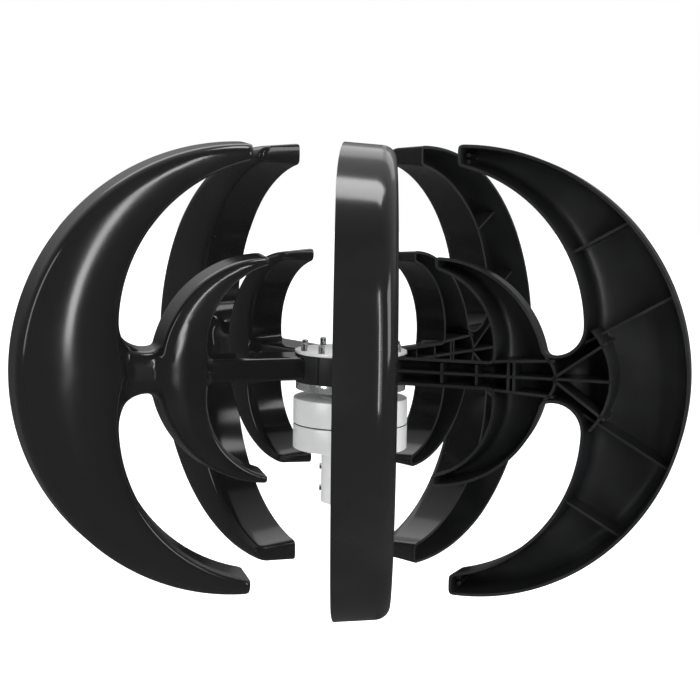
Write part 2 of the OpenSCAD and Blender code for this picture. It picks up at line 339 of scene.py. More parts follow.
class Marks(Enum):
    """The tool marks that a metal surface carries."""

    TURNED = "turned"
    BLASTED = "blasted"
    STACKED = "stacked"
    DRAWN = "drawn"


@dataclass(frozen=True)
class Metal:
    """A metal with its tool marks."""

    name: str
    colour: Colour
    dark: Colour
    roughness: float
    marks: Marks
    depth: float = 0.00002
    pitch: float = 0.0006
    metallic: float = 1.0

    def height(self, g: Graph, place: Wire) -> Wire:
        """The marks' height.

        Args:
            g: the material's graph.
            place: where it is read.

        Returns:
            A height from about 0 to 1.
        """
        if self.marks is Marks.BLASTED:
            return g.noise(place, 2600.0, 2.0, 0.6)
        if self.marks is Marks.DRAWN:
            return g.noise(place, 1500.0, 1.0)
        x, y, z = g.axes(place)
        across = z if self.marks is Marks.STACKED else (x * x + y * y) ** 0.5 + z
        waver = g.noise(place, 30.0, 1.0) * 0.0004
        phase = (across + waver) * (math.tau / self.pitch)
        ring = g.add("ShaderNodeMath", {"operation": "SINE"}, {0: phase})
        return ring * 0.35 + 0.5 + g.noise(place, 700.0, 3.0) * 0.15

    def make(self) -> bpy.types.Material:
        """Builds the material: tool marks, smudges and slightly darker patches."""
        g = Graph(self.name)
        place = g.place()
        smudge = g.noise(place, 45.0, 4.0, 0.6)
        marks = self.height(g, place)
        return g.surface(
            {
                "Base Color": g.tint(smudge.step(0.3, 0.75), self.colour, self.dark),
                "Roughness": smudge * 0.1 + self.roughness - 0.05 + marks * 0.03,
                "Normal": g.bump(marks, self.depth, 0.7),
                "Metallic": self.metallic,
            }
        )


@dataclass(frozen=True)
class WoundWire:
    """Enamelled copper wire laid side by side."""

    copper: Colour = (0.55, 0.2, 0.07)
    gap: Colour = (0.09, 0.03, 0.015)
    pitch: float = 0.0008

    def make(self) -> bpy.types.Material:
        """Builds the material: round wires with dark gaps between them."""
        g = Graph("coil_wire")
        place = g.place()
        _, _, z = g.axes(place)
        half = self.pitch / 2
        waver = z + g.noise(place, 200.0) * 0.0002
        lay = g.add("ShaderNodeMath", {"operation": "PINGPONG"}, {0: waver, 1: half})
        wire = (lay / half).step(0.0, 0.6)
        return g.surface(
            {
                "Base Color": g.tint(wire, self.gap, self.copper),
                "Roughness": 0.42 - wire * 0.14,
                "Metallic": wire * 0.85,
                "Normal": g.bump(wire, 0.00025, 0.8),
            }
        )


@dataclass(frozen=True)
class Rubber:
    """Matt black rubber with a slight bloom."""

    colour: Colour = (0.012, 0.012, 0.0125)
    bloom: Colour = (0.035, 0.035, 0.036)

    def make(self) -> bpy.types.Material:
        """Builds the material: fine pores and a grey bloom in patches."""
        g = Graph("seal_rubber")
        place = g.place()
        bloom = g.noise(place, 90.0, 4.0)
        pores = g.noise(place, 1400.0, 3.0)
        return g.surface(
            {
                "Base Color": g.tint(bloom.step(0.4, 0.8), self.colour, self.bloom),
                "Roughness": bloom * 0.15 + 0.6,
                "Normal": g.bump(pores, 0.00006),
            }
        )


class Finishes:
    """Every finish of the turbine, made once."""

    def __init__(self) -> None:
        """Makes the materials."""
        self.gloss = GlossyMoulding().make()
        self.satin = SatinMoulding().make()
        turned, blasted = Marks.TURNED, Marks.BLASTED
        metals = {
            Slot.POLISHED: Metal(
                "hub_polished", (0.9, 0.905, 0.915), (0.84, 0.85, 0.865), 0.12,
                turned, 0.0000015, 0.0008, 0.85,
            ),
            Slot.STUD: Metal("stud_zinc", (0.6, 0.61, 0.63), (0.4, 0.4, 0.42), 0.24, Marks.DRAWN),
            Slot.MACHINED: Metal("shaft_turned", (0.6, 0.61, 0.63), (0.46, 0.47, 0.49), 0.26, turned),
            Slot.IRON: Metal("rotor_iron", (0.2, 0.21, 0.22), (0.12, 0.12, 0.13), 0.42, turned, 0.00003),
            Slot.MAGNET: Metal("magnet_nickel", (0.66, 0.64, 0.6), (0.5, 0.49, 0.47), 0.2, blasted, 0.000008),
            Slot.BEARING: Metal(
                "bearing_steel", (0.72, 0.73, 0.75), (0.6, 0.61, 0.63), 0.12, turned, 0.000004, 0.0004
            ),
            Slot.BRASS: Metal("cage_brass", (0.72, 0.52, 0.22), (0.5, 0.34, 0.13), 0.3, blasted),
            Slot.CORE: Metal(
                "core_sheets", (0.34, 0.35, 0.37), (0.2, 0.2, 0.22), 0.4, Marks.STACKED, 0.00006, 0.0005
            ),
            Slot.HOUSING: Metal(
                "housing_satin", (0.88, 0.885, 0.89), (0.83, 0.835, 0.84), 0.36,
                blasted, 0.000012, 0.0006, 0.3,
            ),
        }
        self.by_slot = {slot: metal.make() for slot, metal in metals.items()}
        plate = Metal(
            "plate_brushed", (0.93, 0.93, 0.935), (0.87, 0.87, 0.88), 0.28, turned, 0.000006, 0.0008, 0.3
        )
        self.plate = plate.make()
        self.by_slot[Slot.COPPER] = WoundWire().make()
        self.by_slot[Slot.RUBBER] = Rubber().make()
        self.by_slot[Slot.BLADE] = self.gloss

    def dress_nodes(self, nodes: dict[str, bpy.types.Object], slots: dict[str, str]) -> None:
        """Gives every CAD node the finish of its slot.

        Args:
            nodes: the CAD nodes by name.
            slots: the slot's name for each node.
        """
        for name, node in nodes.items():
            finish = self.by_slot[Slot(slots[name])]
            for holder in node.material_slots:
                holder.material = finish
            if not node.material_slots:
                node.data.materials.append(finish)

    def hand_over(self, piece: bpy.types.Object, body: str, slot: Slot, *nodes: str) -> None:
        """Gives a finished piece its body and its finish, and hides the CAD nodes that it replaces.

        Args:
            piece: the finished piece.
            body: the CAD body that it rides on.
            slot: its material slot in the record, whose finish it gets if it has none yet.
            nodes: the CAD nodes that it replaces.
        """
        if not piece.data.materials:
            Bench.coat(piece, self.by_slot[slot])
        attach(piece, body)
        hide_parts(*nodes)
        LOG.info("%s: %d faces on %s", piece.name, len(piece.data.polygons), body)


# --------------------------------------------------------------------------
# Bench tools: modelling by operators
# --------------------------------------------------------------------------


class Bench:
    """Modelling steps that several sub-assemblies share."""

    @staticmethod
    def clear() -> None:
        """Deselects everything."""
        for thing in bpy.context.selected_objects:
            thing.select_set(False)

    @staticmethod
    def active() -> bpy.types.Object:
        """The object that the last operator added."""
        return bpy.context.view_layer.objects.active

    @staticmethod
    def choose(thing: bpy.types.Object) -> None:
        """Selects one object alone and makes it active."""
        Bench.clear()
        thing.select_set(True)
        bpy.context.view_layer.objects.active = thing

    @staticmethod
    def stand(name: str, data: bpy.types.ID) -> bpy.types.Object:
        """Makes an object of its data and puts it in the scene."""
        thing = bpy.data.objects.new(name, data)
        bpy.context.scene.collection.objects.link(thing)
        return thing

    @staticmethod
    def coat(thing: bpy.types.Object, *finishes: bpy.types.Material) -> None:
        """Gives an object these finishes and no others."""
        thing.data.materials.clear()
        for finish in finishes:
            thing.data.materials.append(finish)

    @staticmethod
    @contextmanager
    def editing(thing: bpy.types.Object, everything: bool = True) -> Iterator[None]:
        """Holds an object in edit mode.

        Args:
            thing: the mesh object.
            everything: selects all of it first.

        Yields:
            Nothing, while edit mode lasts.
        """
        Bench.choose(thing)
        bpy.ops.object.mode_set(mode="EDIT")
        if everything:
            bpy.ops.mesh.select_all(action="SELECT")
        try:
            yield
        finally:
            bpy.ops.object.mode_set(mode="OBJECT")

    @staticmethod
    def apply(thing: bpy.types.Object) -> None:
        """Applies every modifier in order."""
        Bench.choose(thing)
        for modifier in list(thing.modifiers):
            bpy.ops.object.modifier_apply(modifier=modifier.name)

    @staticmethod
    def settle(thing: bpy.types.Object) -> None:
        """Puts the object at the origin with its place in its mesh."""
        Bench.choose(thing)
        bpy.ops.object.transform_apply(location=True, rotation=True, scale=True)

    @staticmethod
    def smooth(thing: bpy.types.Object, degrees: float = 35.0) -> None:
        """Smooths the shading up to an angle between faces."""
        Bench.choose(thing)
        bpy.ops.object.shade_smooth_by_angle(angle=math.radians(degrees))

    @staticmethod
    def bevel(thing: bpy.types.Object, width: float, segments: int = 3, degrees: float = 40.0) -> None:
        """Rounds the edges that are sharper than an angle.

        Args:
            thing: the mesh object.
            width: the rounding in millimetres.
            segments: faces across it.
            degrees: the least angle that is rounded.
        """
        modifier = thing.modifiers.new("edge", "BEVEL")
        modifier.width = width * MM
        modifier.segments = segments
        modifier.limit_method = "ANGLE"
        modifier.angle_limit = math.radians(degrees)
        modifier.use_clamp_overlap = True
        Bench.apply(thing)

    @staticmethod
    def join(parts: Sequence[bpy.types.Object], name: str) -> bpy.types.Object:
        """Joins objects into the first.

        Args:
            parts: the objects.
            name: the name of the result.

        Returns:
            The joined object.
        """
        Bench.clear()
        for part in parts:
            part.select_set(True)
        bpy.context.view_layer.objects.active = parts[0]
        bpy.ops.object.join()
        parts[0].name = name
        parts[0].data.name = name
        return parts[0]

    @staticmethod
    def lathe(
        name: str,
        profile: Sequence[Point],
        rounding: float = 0.4,
        steps: int = 120,
        at: Point = (0.0, 0.0),
    ) -> bpy.types.Object:
        """Turns a profile about an upright axis.

        Args:
            name: the piece's name.
            profile: radius and height of each corner in millimetres, in order.
            rounding: the edges' rounding in millimetres.
            steps: faces round the axis.
            at: the axis's place.

        Returns:
            The turned piece.
        """
        Bench.clear()
        bpy.ops.mesh.primitive_plane_add(size=MM, location=(0, 0, 0))
        piece = Bench.active()
        piece.name = name
        with Bench.editing(piece):
            bpy.ops.mesh.merge(type="CENTER")
            bpy.ops.transform.translate(value=(profile[0][0] * MM, 0, profile[0][1] * MM))
            closed = [*profile, profile[0]] if profile[0][0] > 0 or profile[-1][0] > 0 else profile
            for (r0, z0), (r1, z1) in zip(closed, closed[1:]):
                step = ((r1 - r0) * MM, 0, (z1 - z0) * MM)
                bpy.ops.mesh.extrude_region_move(TRANSFORM_OT_translate={"value": step})
            bpy.ops.mesh.select_all(action="SELECT")
            bpy.ops.mesh.remove_doubles(threshold=0.001 * MM)
            bpy.ops.mesh.select_all(action="SELECT")
            bpy.ops.mesh.spin(steps=steps, angle=math.tau, center=(0, 0, 0), axis=(0, 0, 1))
            bpy.ops.mesh.select_all(action="SELECT")
            bpy.ops.mesh.remove_doubles(threshold=0.002 * MM)
            bpy.ops.mesh.normals_make_consistent(inside=False)
        piece.location = (at[0] * MM, at[1] * MM, 0)
        Bench.settle(piece)
        if rounding:
            Bench.bevel(piece, rounding)
        Bench.smooth(piece)
        return piece


# --------------------------------------------------------------------------
# Blade
# --------------------------------------------------------------------------


@dataclass(frozen=True)
class Circle:
    """A circle in the blade's plane, which the moulding has above and mirrored below."""

    x: float
    y: float
    r: float

    def outside(self, u: np.ndarray, v: np.ndarray) -> np.ndarray:
        """How far points lie outside the circle, with v taken upwards."""
        return np.hypot(u - self.x, np.abs(v) - self.y) - self.r

    def arc(self, start: float, end: float, step: float = 1.0) -> list[Point]:
        """Points along the circle.

        Args:
            start: the first angle in radians.
            end: the last angle in radians.
            step: the spacing in millimetres.

        Returns:
            The points.
        """
        count = max(2, int(abs(end - start) * self.r / step))
        turns = np.linspace(start, end, count)
        return [(self.x + self.r * math.cos(a), self.y + self.r * math.sin(a)) for a in turns]

    def angle(self, point: Point) -> float:
        """The angle at which a point is seen from the centre."""
        return math.atan2(point[1] - self.y, point[0] - self.x)

    def at_x(self, x: float) -> Point:
        """The circle's upper point at x."""
        return x, self.y + math.sqrt(self.r**2 - (x - self.x) ** 2)

    def meets(self, other: Circle, upper: bool) -> Point:
        """A point that two circles share.

        Args:
            other: the second circle.
            upper: picks the higher of the two points.

        Returns:
            The point, or the nearest to one where the circles only touch.
        """
        dx, dy = other.x - self.x, other.y - self.y
        gap = math.hypot(dx, dy)
        along = (gap**2 + self.r**2 - other.r**2) / (2 * gap)
        across = math.sqrt(max(0.0, self.r**2 - along**2))
        base = (self.x + dx * along / gap, self.y + dy * along / gap)
        both = [(base[0] - s * dy * across / gap, base[1] + s * dx * across / gap) for s in (1, -1)]
        both.sort(key=lambda p: p[1])
        return both[1 if upper else 0]


@dataclass(frozen=True)
class BladeForm:
    """The moulding's shape: u runs out from the axis, v up and w to the convex side."""

    outer: Circle = Circle(102.5, 0.0, 197.5)
    void: Circle = Circle(70.7, 41.8, 139.4)
    tip: float = 96.0
    inner: Circle = Circle(78.5, 0.0, 101.0)
    inner_void: Circle = Circle(63.7, 23.1, 68.8)
    inner_tip: float = 79.0
    fillet: Circle = Circle(185.5, 45.0, 24.5)
    arm_half: float = 12.5
    arm_start: float = 38.0
    draft: float = 2.2
    rim: float = -13.0
    crest: float = 34.8
    inner_crest: float = 24.0
    neck_top: float = 19.0
    neck_ends: Point = (152.0, 232.0)
    neck_half: float = 46.0
    arm_top: float = 13.0
    arm_end: float = 160.0
    tip_rise: float = 5.6
    wall: float = 2.6

    def outline(self, spacing: float = 2.0) -> np.ndarray:
        """The closed outline at the rim.

        Args:
            spacing: the distance between points.

        Returns:
            The points, one to a row, in order round the outline.
        """
        void, inner, hollow, fillet = self.void, self.inner, self.inner_void, self.fillet
        drop = hollow.y - self.arm_half
        start = (hollow.x + math.sqrt(hollow.r**2 - drop**2), self.arm_half)
        joint = inner.meets(fillet, upper=False)
        touch = void.meets(fillet, upper=True)
        upper = [(self.arm_start, self.arm_half)]
        upper += hollow.arc(hollow.angle(start), hollow.angle(hollow.at_x(self.inner_tip)))
        upper += inner.arc(inner.angle(inner.at_x(self.inner_tip)), inner.angle(joint))
        upper += fillet.arc(fillet.angle(joint), fillet.angle(touch))
        upper += void.arc(void.angle(touch), void.angle(void.at_x(self.tip)))
        upper += self.outer.arc(self.outer.angle(self.outer.at_x(self.tip)), 0.0)
        lower = [(x, -y) for x, y in reversed(upper[:-1])]
        loop = self.resample(np.array(upper + lower), 0.5)
        u, v = loop[:, 0], np.abs(loop[:, 1])
        tips = ((v > 150) & (u < 125)) | ((v > 84) & (v < 104) & (u < 95))
        loop = np.where(tips[:, None], self.blur(loop, 5.5), self.blur(loop, 3))
        return self.resample(self.blur(loop, 2), spacing)

    @staticmethod
    def resample(loop: np.ndarray, spacing: float) -> np.ndarray:
        """Spaces a closed loop's points evenly."""
        ring = np.vstack([loop, loop[:1]])
        run = np.concatenate([[0.0], np.cumsum(np.hypot(*np.diff(ring, axis=0).T))])
        count = int(run[-1] / spacing)
        want = np.arange(count) * run[-1] / count
        return np.column_stack([np.interp(want, run, ring[:, i]) for i in (0, 1)])

    @staticmethod
    def blur(loop: np.ndarray, sigma: float) -> np.ndarray:
        """Rounds a closed loop's corners by a Gaussian of so many points."""
        reach = int(4 * sigma)
        taps = np.arange(-reach, reach + 1)
        weights = np.exp(-0.5 * (taps / sigma) ** 2)
        weights /= weights.sum()
        return sum(w * np.roll(loop, t, axis=0) for w, t in zip(weights, taps))

    @staticmethod
    def normals(loop: np.ndarray) -> np.ndarray:
        """Inward normals of a closed loop."""
        along = np.roll(loop, -1, axis=0) - np.roll(loop, 1, axis=0)
        along /= np.hypot(*along.T)[:, None]
        x, y = loop.T
        area = np.sum(x * np.roll(y, -1) - np.roll(x, -1) * y)
        return np.column_stack([-along[:, 1], along[:, 0]]) * math.copysign(1.0, area)

    @staticmethod
    def edge(depth: np.ndarray, radius: float) -> np.ndarray:
        """How far a rounded edge has dropped.

        Args:
            depth: distance inside the edge.
            radius: the rounding.

        Returns:
            The drop: 0 past the rounding, and a steep flank outside the edge.
        """
        share = 1.0 - np.clip(depth, 0.0, radius) / radius
        drop = radius * (1.0 - np.sqrt(1.0 - share**2.3))
        return drop + 2.2 * np.maximum(-depth, 0.0)

    @staticmethod
    def arch(near: np.ndarray, far: np.ndarray) -> np.ndarray:
        """How far a crescent's gentle arch has dropped.

        Args:
            near: distance inside the outer edge.
            far: distance inside the inner edge.

        Returns:
            The drop, which is nothing near the middle of the width.
        """
        width = np.maximum(near, 0.0) + np.maximum(far, 0.0) + 1e-6
        share = np.clip(near / width, 0.0, 1.0)
        return 0.21 * width * (share - 0.47) ** 2

    @staticmethod
    def blend(a: np.ndarray, b: np.ndarray, reach: float) -> np.ndarray:
        """The greater of two heights, with a fillet where they meet."""
        near = np.maximum(reach - np.abs(a - b), 0.0) / reach
        return np.maximum(a, b) + near**3 * reach / 6.0

    def crown(self, u: np.ndarray, v: np.ndarray) -> np.ndarray:
        """Height of the convex skin.

        Args:
            u: distances from the axis.
            v: heights from the centre plane.

        Returns:
            The skin's height in w at each point.
        """
        edge, inset = self.edge, self.draft
        near, far = -self.outer.outside(u, v) - inset, self.void.outside(u, v) - inset
        outer = self.crest - self.arch(near, far) - edge(near, 12.0) - edge(far, 6.0)
        outer = outer - edge(u - self.tip - inset, 6.0)
        near, far = -self.inner.outside(u, v) - inset, self.inner_void.outside(u, v) - inset
        inner = self.inner_crest - self.arch(near, far) - edge(near, 7.5) - edge(far, 4.5)
        inner = inner - edge(u - self.inner_tip - inset, 4.5)
        past = np.maximum(self.neck_ends[0] - u, 0.0) + np.maximum(u - self.neck_ends[1], 0.0)
        neck = self.neck_top - edge(self.fillet.outside(u, v) - inset, 12.0) - 2.0 * past
        neck = neck - 2.0 * np.maximum(np.abs(v) - self.neck_half, 0.0)
        arm = self.arm_top - edge(self.arm_half - inset - np.abs(v), 5.0)
        arm = arm - 1.5 * np.maximum(u - self.arm_end, 0.0)
        arm = arm - edge(u - self.arm_start - inset, 1.5)
        return self.blend(self.blend(outer, neck, 16.0), self.blend(inner, arm, 6.0), 9.0)

    def rim_height(self, u: np.ndarray, v: np.ndarray) -> np.ndarray:
        """Height of the open rim, which rises a little towards the tips."""
        near = np.clip((np.abs(v) - 105.0) / 45.0, 0.0, 1.0)
        run = np.clip((211.0 - u) / 107.0, 0.0, 1.0)
        return self.rim + self.tip_rise * near * near * (3 - 2 * near) * run**1.4

    def distance(self, points: np.ndarray, loop: np.ndarray) -> np.ndarray:
        """Distance of points from a closed loop."""
        out = np.empty(len(points))
        run = np.roll(loop, -1, axis=0) - loop
        square = np.maximum((run**2).sum(axis=1), 1e-9)
        for lo in range(0, len(points), 1500):
            gap = points[lo : lo + 1500, None, :] - loop[None]
            share = np.clip((gap * run[None]).sum(axis=2) / square[None], 0.0, 1.0)
            near = gap - share[..., None] * run[None]
            out[lo : lo + 1500] = np.sqrt((near**2).sum(axis=2).min(axis=1))
        return out


@dataclass
class CrescentBlade:
    """One blade: a moulded double crescent, its ribs and its root in the hub."""

    form: BladeForm
    hub_height: float
    root_inner: float = 20.0
    root_outer: float = 48.5
    root_gap: float = 0.3
    rib: float = 2.4
    grid: float = 2.6
    rings: tuple[float, ...] = (0.3, 0.9, 1.9, 3.3, 5.1, 7.3, 10.0, 13.2)
    wall_rings: int = 9
    braces: tuple[tuple[Point, Point], ...] = (
        ((185.0, 101.0), (262.5, 145.0)),
        ((195.0, 22.5), (300.5, 84.0)),
    )
    fan: tuple[Point, Point] = ((184.0, 0.0), (230.0, 33.0))
    spine: tuple[Point, Point] = ((46.0, 0.0), (234.0, 0.0))
    arcs: tuple[tuple[float, float, float], ...] = ((171.0, 63.0, 43.0), (163.0, 24.0, 19.0))
    rungs: tuple[float, ...] = (87.0, 118.0, 146.0, 151.0)
    rails: tuple[Point, Point] = ((130.0, 12.2), (186.0, 15.5))
    pads: tuple[Point, ...] = ((103.5, 182.5), (103.5, 188.5))
    deep: float = 1.5

    def skin_points(self, loop: np.ndarray) -> np.ndarray:
        """Points across the crown: rings near the edge and a grid within.

        Args:
            loop: the crown's outline.

        Returns:
            The points, outline first.
        """
        form = self.form
        inward = form.normals(loop)
        found = [loop]
        for number, depth in enumerate(self.rings):
            ring = loop + inward * depth
            if number % 2:
                ring = (ring + np.roll(ring, -1, axis=0)) / 2
            found.append(ring[form.distance(ring, loop) > depth * 0.93])
        low, high = loop.min(axis=0), loop.max(axis=0)
        across = np.arange(low[0], high[0], self.grid)
        up = np.arange(0.0, high[1], self.grid * 0.87)
        up = np.concatenate([-up[:0:-1], up])
        u, v = np.meshgrid(across, up)
        u = u + (np.round(v / (self.grid * 0.87)) % 2) * self.grid / 2
        inner = np.column_stack([u.ravel(), v.ravel()])
        found.append(inner[form.distance(inner, loop) > self.rings[-1] + self.grid * 0.5])
        return np.vstack(found)

    def skin(self) -> bpy.types.Object:
        """Builds the convex skin with its side walls, then gives it its thickness.

        Returns:
            The hollow moulding, in blade coordinates.
        """
        form = self.form
        rim = form.outline()
        loop = rim + form.normals(rim) * form.draft
        points = self.skin_points(loop)
        ring = list(range(len(loop)))
        result = delaunay_2d_cdt([Vector(p) for p in points], [], [ring], 1, 1e-6)
        flat = np.array([tuple(p) for p in result[0]])
        faces = [tuple(f) for f in result[2]]
        height = form.crown(flat[:, 0], flat[:, 1])
        mesh = bpy.data.meshes.new("crown")
        mesh.from_pydata((np.column_stack([flat, height]) * MM).tolist(), [], faces)
        crown = Bench.stand("crown", mesh)
        piece = Bench.join([self.side_wall(rim, loop), crown], "moulding")
        with Bench.editing(piece):
            bpy.ops.mesh.remove_doubles(threshold=0.01 * MM)
            bpy.ops.mesh.delete_loose(use_verts=True, use_edges=True, use_faces=False)
            bpy.ops.mesh.select_all(action="SELECT")
            bpy.ops.mesh.normals_make_consistent(inside=False)
        if sum(p.normal.z * p.area for p in piece.data.polygons) < 0:
            with Bench.editing(piece):
                bpy.ops.mesh.flip_normals()
        solid = piece.modifiers.new("wall", "SOLIDIFY")
        solid.thickness = form.wall * MM
        solid.offset = -1.0
        solid.material_offset = 1
        solid.material_offset_rim = 1
        return piece

    def side_wall(self, rim: np.ndarray, loop: np.ndarray) -> bpy.types.Object:
        """Raises the side wall from a circle laid on the rim.

        Args:
            rim: the outline at the rim.
            loop: the outline where the crown starts.

        Returns:
            The wall.
        """
        form = self.form
        count = len(rim)
        Bench.clear()
        bpy.ops.mesh.primitive_circle_add(vertices=count, radius=0.1, fill_type="NOTHING")
        wall = Bench.active()
        low = form.rim_height(*rim.T)
        high = form.crown(*loop.T)
        for number in range(self.wall_rings + 1):
            share = number / self.wall_rings
            if number:
                with Bench.editing(wall, everything=False):
                    bpy.ops.mesh.extrude_region_move()
            place = rim + (loop - rim) * share
            level = low + (high - low) * share
            for vertex, (u, v), w in zip(list(wall.data.vertices)[-count:], place, level):
                vertex.co = Vector((u, v, w)) * MM
        Bench.settle(wall)
        return wall

    def rib_strip(self, path: Sequence[Point], top: float) -> bpy.types.Object:
        """Stands one rib on the inside of the skin.

        Args:
            path: the rib's line.
            top: the height of its free edge in w.

        Returns:
            The rib.
        """
        form = self.form
        line = np.array(path)
        along = np.gradient(line, axis=0)
        along /= np.hypot(*along.T)[:, None]
        across = np.column_stack([-along[:, 1], along[:, 0]]) * self.rib / 2
        Bench.clear()
        bpy.ops.mesh.primitive_grid_add(x_subdivisions=len(line) - 1, y_subdivisions=1, size=0.1)
        strip = Bench.active()
        order = sorted(strip.data.vertices, key=lambda p: (round(p.co.y, 6), p.co.x))
        sides = (line - across, line + across)
        ends = {v.index: (k // len(line), k % len(line)) for k, v in enumerate(order)}
        for index, (side, place) in ends.items():
            u, v = sides[side][place]
            strip.data.vertices[index].co = Vector((u, v, top)) * MM
        count = len(strip.data.vertices)
        with Bench.editing(strip):
            bpy.ops.mesh.extrude_region_move()
        for vertex in list(strip.data.vertices)[count:]:
            u, v = vertex.co.x / MM, vertex.co.y / MM
            vertex.co.z = (float(form.crown(np.array([u]), np.array([v]))[0]) - 1.4) * MM
        with Bench.editing(strip):
            bpy.ops.mesh.normals_make_consistent(inside=False)
        return strip

    def run(self, start: Point, end: Point, top: float, side: float = 1.0) -> bpy.types.Object:
        """A straight rib, kept to where it stands inside the moulding.

        Args:
            start: one end.
            end: the other end.
            top: the height of its free edge.
            side: 1 as given, and -1 mirrored to the lower half.

        Returns:
            The rib.
        """
        count = max(3, int(math.dist(start, end) / 3.0))
        line = np.linspace(start, end, count) * (1.0, side)
        return self.rib_strip(self.kept(line), top)

    def kept(self, line: np.ndarray) -> np.ndarray:
        """Keeps the longest stretch of a line that lies inside the walls."""
        form = self.form
        rim = form.outline(4.0)
        far = form.distance(line, rim)
        u, v = line.T
        crescents = (form.outer.outside(u, v) < 0) & (form.void.outside(u, v) > 0) & (u > form.tip)
        crescents |= (form.inner.outside(u, v) < 0) & (form.inner_void.outside(u, v) > 0)
        neck = (np.abs(u - 186) < 27) & (form.fillet.outside(u, v) > 0) & (np.abs(v) < 44)
        arm = (np.abs(v) < form.arm_half) & (u < 200)
        inside = (crescents | neck | arm) & (far > 1.6)
        stretches = np.split(np.arange(len(line)), np.flatnonzero(np.diff(inside.astype(int))) + 1)
        best = max((s for s in stretches if inside[s[0]]), key=len)
        return line[best]

    def arc_rib(self, centre: float, radius: float, reach: float, top: float) -> bpy.types.Object:
        """A rib along an arc that bulges outwards.

        Args:
            centre: the arc's centre in u.
            radius: its radius.
            reach: how far it goes up and down.
            top: the height of its free edge.

        Returns:
            The rib.
        """
        half = math.asin(min(1.0, reach / radius))
        turns = np.linspace(-half, half, 22)
        line = np.column_stack([centre + radius * np.cos(turns), radius * np.sin(turns)])
        return self.rib_strip(self.kept(line), top)

    def ribs(self) -> list[bpy.types.Object]:
        """Every rib on the hollow side."""
        rim = self.form.rim + 0.7
        half = self.form.arm_half - 0.1
        made = []
        for side in (-1.0, 1.0):
            made += [self.run(*brace, self.deep, side) for brace in self.braces]
            made.append(self.run(*self.fan, rim, side))
            made += [self.boss((u, side * v), 2.0, -1.0) for u, v in self.pads]
        made.append(self.run(*self.spine, rim))
        made += [self.arc_rib(*arc, rim) for arc in self.arcs]
        made += [self.run((u, -half), (u, half), rim) for u in self.rungs]
        made += [self.run(*self.rails, rim, side) for side in (-1.0, 1.0)]
        return made

    def boss(self, at: Point, radius: float, top: float) -> bpy.types.Object:
        """A small round pad inside a tip.

        Args:
            at: its place.
            radius: its radius.
            top: the height of its free end.

        Returns:
            The pad.
        """
        turns = np.linspace(0.0, math.tau, 12)
        reach = radius + 0.5
        skin = self.form.crown(at[0] + reach * np.cos(turns), at[1] + reach * np.sin(turns))
        base = float(skin.min()) - 1.2
        profile = [
            (0.0, base), (radius + 0.3, base), (radius, top + 0.3), (radius - 0.4, top),
            (0.9, top), (0.6, top + 1.2), (0.0, top + 1.2),
        ]
        return Bench.lathe("pad", profile, rounding=0.0, steps=28, at=at)

    def root(self) -> bpy.types.Object:
        """The sector that is clamped between plate and flange."""
        form = self.form
        half = math.radians(36.0)
        Bench.clear()
        bpy.ops.mesh.primitive_plane_add(size=1.0)
        root = Bench.active()
        corners = [(self.root_inner, -1), (self.root_outer, -1), (self.root_inner, 1), (self.root_outer, 1)]
        for vertex, (u, side) in zip(root.data.vertices, corners):
            vertex.co = Vector((u, side * form.arm_half, 0.0)) * MM
        with Bench.editing(root):
            bpy.ops.mesh.spin(steps=30, angle=2 * half, center=(0, 0, 0), axis=(0, 1, 0))
            bpy.ops.mesh.select_all(action="SELECT")
            bpy.ops.mesh.remove_doubles(threshold=0.01 * MM)
        for vertex in root.data.vertices:
            u, v, w = vertex.co
            reach = math.hypot(u, w)
            turn = math.atan2(w, u)
            middle = half if turn >= -1e-6 else -half
            turn = turn - middle
            limit = half - self.root_gap * MM / reach
            turn = max(-limit, min(limit, turn))
            vertex.co = Vector((reach * math.cos(turn), v, reach * math.sin(turn)))
        with Bench.editing(root):
            bpy.ops.mesh.normals_make_consistent(inside=False)
        Bench.bevel(root, 0.5)
        return root

    def build(self, gloss: bpy.types.Material, satin: bpy.types.Material) -> bpy.types.Object:
        """Builds the blade in blade coordinates.

        Args:
            gloss: the finish of the convex side.
            satin: the finish of the hollow side.

        Returns:
            The blade, before it is turned to its place.
        """
        moulding = self.skin()
        Bench.coat(moulding, gloss, satin)
        Bench.apply(moulding)
        self.soften_inside(moulding)
        inside = [*self.ribs(), self.root()]
        for part in inside:
            Bench.coat(part, satin)
        blade = Bench.join([moulding, *inside], "blade")
        Bench.smooth(blade, 38.0)
        return blade

    def soften_inside(self, moulding: bpy.types.Object) -> None:
        """Rounds the inner corners, where the hollow's floor meets its walls."""
        mesh = moulding.data
        with Bench.editing(moulding, everything=False):
            bpy.ops.mesh.select_all(action="DESELECT")
        inside, outside = set(), set()
        for face in mesh.polygons:
            (inside if face.material_index else outside).update(face.vertices)
        for vertex in mesh.vertices:
            u, v, w = vertex.co / MM
            free = w > self.form.rim_height(np.array(u), np.array(v)) + 4.0
            vertex.select = bool(free) and vertex.index in inside and vertex.index not in outside
        with Bench.editing(moulding, everything=False):
            bpy.ops.mesh.select_mode(type="VERT")
            bpy.ops.mesh.vertices_smooth(factor=0.5, repeat=26)

